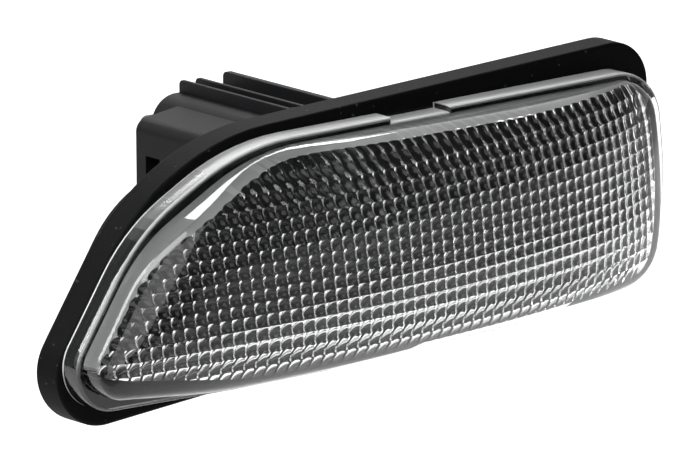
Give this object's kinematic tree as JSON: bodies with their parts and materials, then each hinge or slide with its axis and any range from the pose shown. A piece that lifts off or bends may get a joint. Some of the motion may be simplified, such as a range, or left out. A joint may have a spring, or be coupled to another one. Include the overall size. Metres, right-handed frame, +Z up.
{
  "type": "vehicle indicator lamp",
  "caption": "Side indicator lamp with a clear square-cell lens, a black seal ring and a housing with a rear bulb tower, pushed into an opening in a vehicle's body panel.",
  "frame": {"origin": "on the plane of the gasket's rear face, which seats on the body panel, at the middle of the lamp", "axes": "+X to the right along the lamp seen from the front, +Y to the rear into the vehicle, +Z up; the lens faces -Y"},
  "size_m": [0.1181, 0.0799, 0.0421],
  "materials": {
    "clear_plastic": "clear, polished",
    "seal_rubber": "matt",
    "housing_plastic": "satin moulded",
    "holder_plastic": "satin moulded",
    "contact_metal": "tinned strip",
    "bulb_glass": "clear, silver-grey coated",
    "wire_metal": "drawn wire"
  },
  "bodies": {
    "root": {"lens": "clear_plastic", "gasket": "seal_rubber", "housing": "housing_plastic", "bulb_holder": "holder_plastic", "holder_seal": "seal_rubber", "contact_upper": "contact_metal", "contact_lower": "contact_metal", "bulb_glass": "bulb_glass", "filament": "wire_metal", "lead_wire_upper": "wire_metal", "lead_wire_lower": "wire_metal"}
  },
  "joints": []
}
